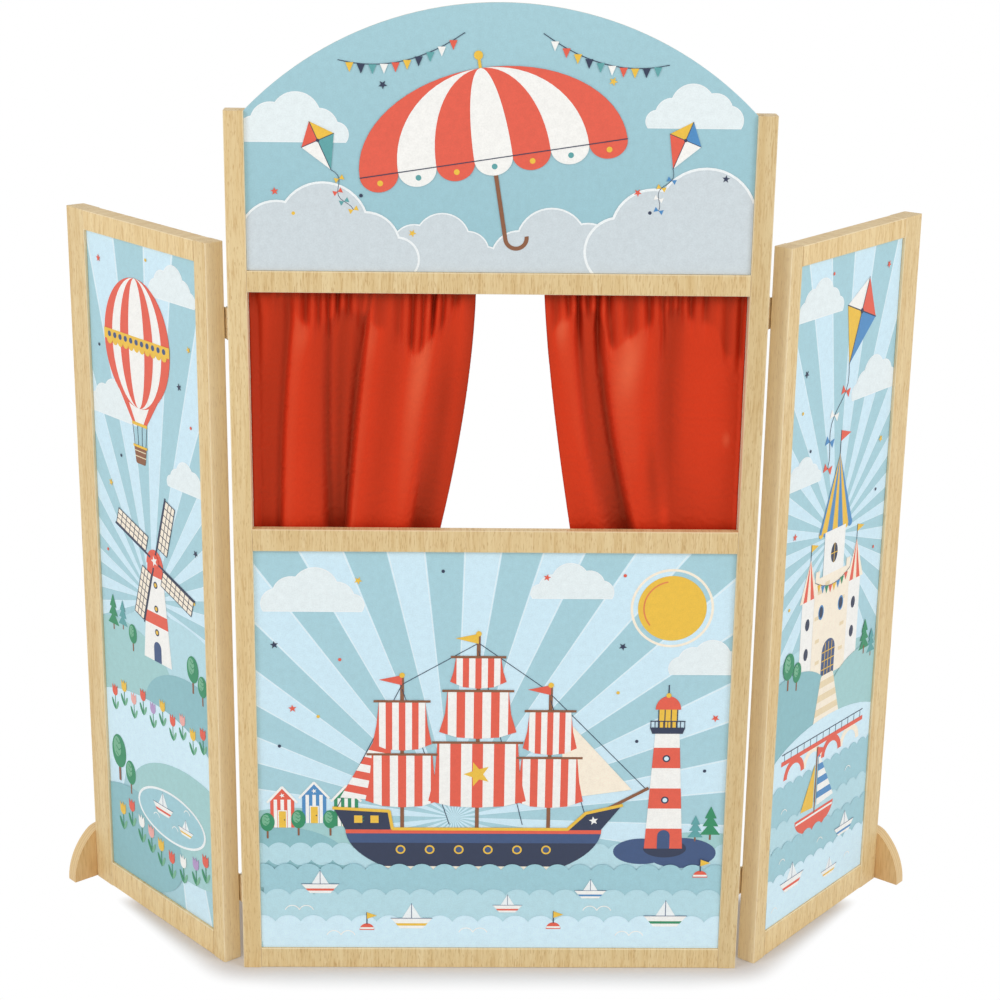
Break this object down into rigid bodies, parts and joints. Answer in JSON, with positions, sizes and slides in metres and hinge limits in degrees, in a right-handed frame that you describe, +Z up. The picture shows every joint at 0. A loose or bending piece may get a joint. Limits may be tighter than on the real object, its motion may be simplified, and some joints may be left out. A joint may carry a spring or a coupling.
{
  "type": "puppet theater stand",
  "caption": "Folding wooden puppet theater: an arched centre frame with a curtained stage opening, and two hinged side wings on half-moon feet.",
  "frame": {"origin": "middle of the bottom rail's underside, on the floor", "axes": "+X to the right seen from the front, +Y to the back, +Z up"},
  "size_m": [1.1004, 0.2872, 1.154],
  "materials": {
    "frame_wood": "satin varnished pale wood",
    "foot_wood": "satin varnished wood, browner",
    "panel_print": "satin printed thin board",
    "curtain_cloth": "red satin cloth",
    "hinge_metal": "antique bronze plated steel",
    "screw_metal": "nickel plated steel"
  },
  "bodies": {
    "centre_frame": {"left_stile": "frame_wood", "right_stile": "frame_wood", "header_rail": "frame_wood", "stage_rail": "frame_wood", "bottom_rail": "frame_wood", "header_panel": "panel_print", "lower_panel": "panel_print", "curtain_rod": "frame_wood", "left_upper_hinge_frame_leaf": "hinge_metal", "left_upper_hinge_frame_lower_screw": "screw_metal", "left_upper_hinge_frame_upper_screw": "screw_metal", "left_upper_hinge_pin": "screw_metal", "left_lower_hinge_frame_leaf": "hinge_metal", "left_lower_hinge_frame_lower_screw": "screw_metal", "left_lower_hinge_frame_upper_screw": "screw_metal", "left_lower_hinge_pin": "screw_metal", "right_upper_hinge_frame_leaf": "hinge_metal", "right_upper_hinge_frame_lower_screw": "screw_metal", "right_upper_hinge_frame_upper_screw": "screw_metal", "right_upper_hinge_pin": "screw_metal", "right_lower_hinge_frame_leaf": "hinge_metal", "right_lower_hinge_frame_lower_screw": "screw_metal", "right_lower_hinge_frame_upper_screw": "screw_metal", "right_lower_hinge_pin": "screw_metal"},
    "left_wing": {"left_wing_inner_stile": "frame_wood", "left_wing_outer_stile": "frame_wood", "left_wing_top_rail": "frame_wood", "left_wing_bottom_rail": "frame_wood", "left_wing_panel": "panel_print", "left_foot": "foot_wood", "left_foot_lower_screw": "screw_metal", "left_foot_upper_screw": "screw_metal", "left_upper_hinge_wing_leaf": "hinge_metal", "left_upper_hinge_wing_lower_screw": "screw_metal", "left_upper_hinge_wing_upper_screw": "screw_metal", "left_lower_hinge_wing_leaf": "hinge_metal", "left_lower_hinge_wing_lower_screw": "screw_metal", "left_lower_hinge_wing_upper_screw": "screw_metal"},
    "right_wing": {"right_wing_inner_stile": "frame_wood", "right_wing_outer_stile": "frame_wood", "right_wing_top_rail": "frame_wood", "right_wing_bottom_rail": "frame_wood", "right_wing_panel": "panel_print", "right_foot": "foot_wood", "right_foot_lower_screw": "screw_metal", "right_foot_upper_screw": "screw_metal", "right_upper_hinge_wing_leaf": "hinge_metal", "right_upper_hinge_wing_lower_screw": "screw_metal", "right_upper_hinge_wing_upper_screw": "screw_metal", "right_lower_hinge_wing_leaf": "hinge_metal", "right_lower_hinge_wing_lower_screw": "screw_metal", "right_lower_hinge_wing_upper_screw": "screw_metal"},
    "left_drape": {"left_curtain": "curtain_cloth"},
    "right_drape": {"right_curtain": "curtain_cloth"}
  },
  "joints": [
    {"name": "left_wing_fold", "type": "hinge", "parent": "centre_frame", "child": "left_wing", "pos_m": [-0.302, 0.0153, 0.4455], "axis": [0, 0, -1], "range_deg": [-58, 106]},
    {"name": "right_wing_fold", "type": "hinge", "parent": "centre_frame", "child": "right_wing", "pos_m": [0.302, 0.0153, 0.4595], "axis": [0, 0, 1], "range_deg": [-58, 106]},
    {"name": "left_curtain_slide", "type": "slide", "parent": "centre_frame", "child": "left_drape", "axis": [1, 0, 0], "range_m": [0, 0.035]},
    {"name": "right_curtain_slide", "type": "slide", "parent": "centre_frame", "child": "right_drape", "axis": [-1, 0, 0], "range_m": [0, 0.035]}
  ]
}
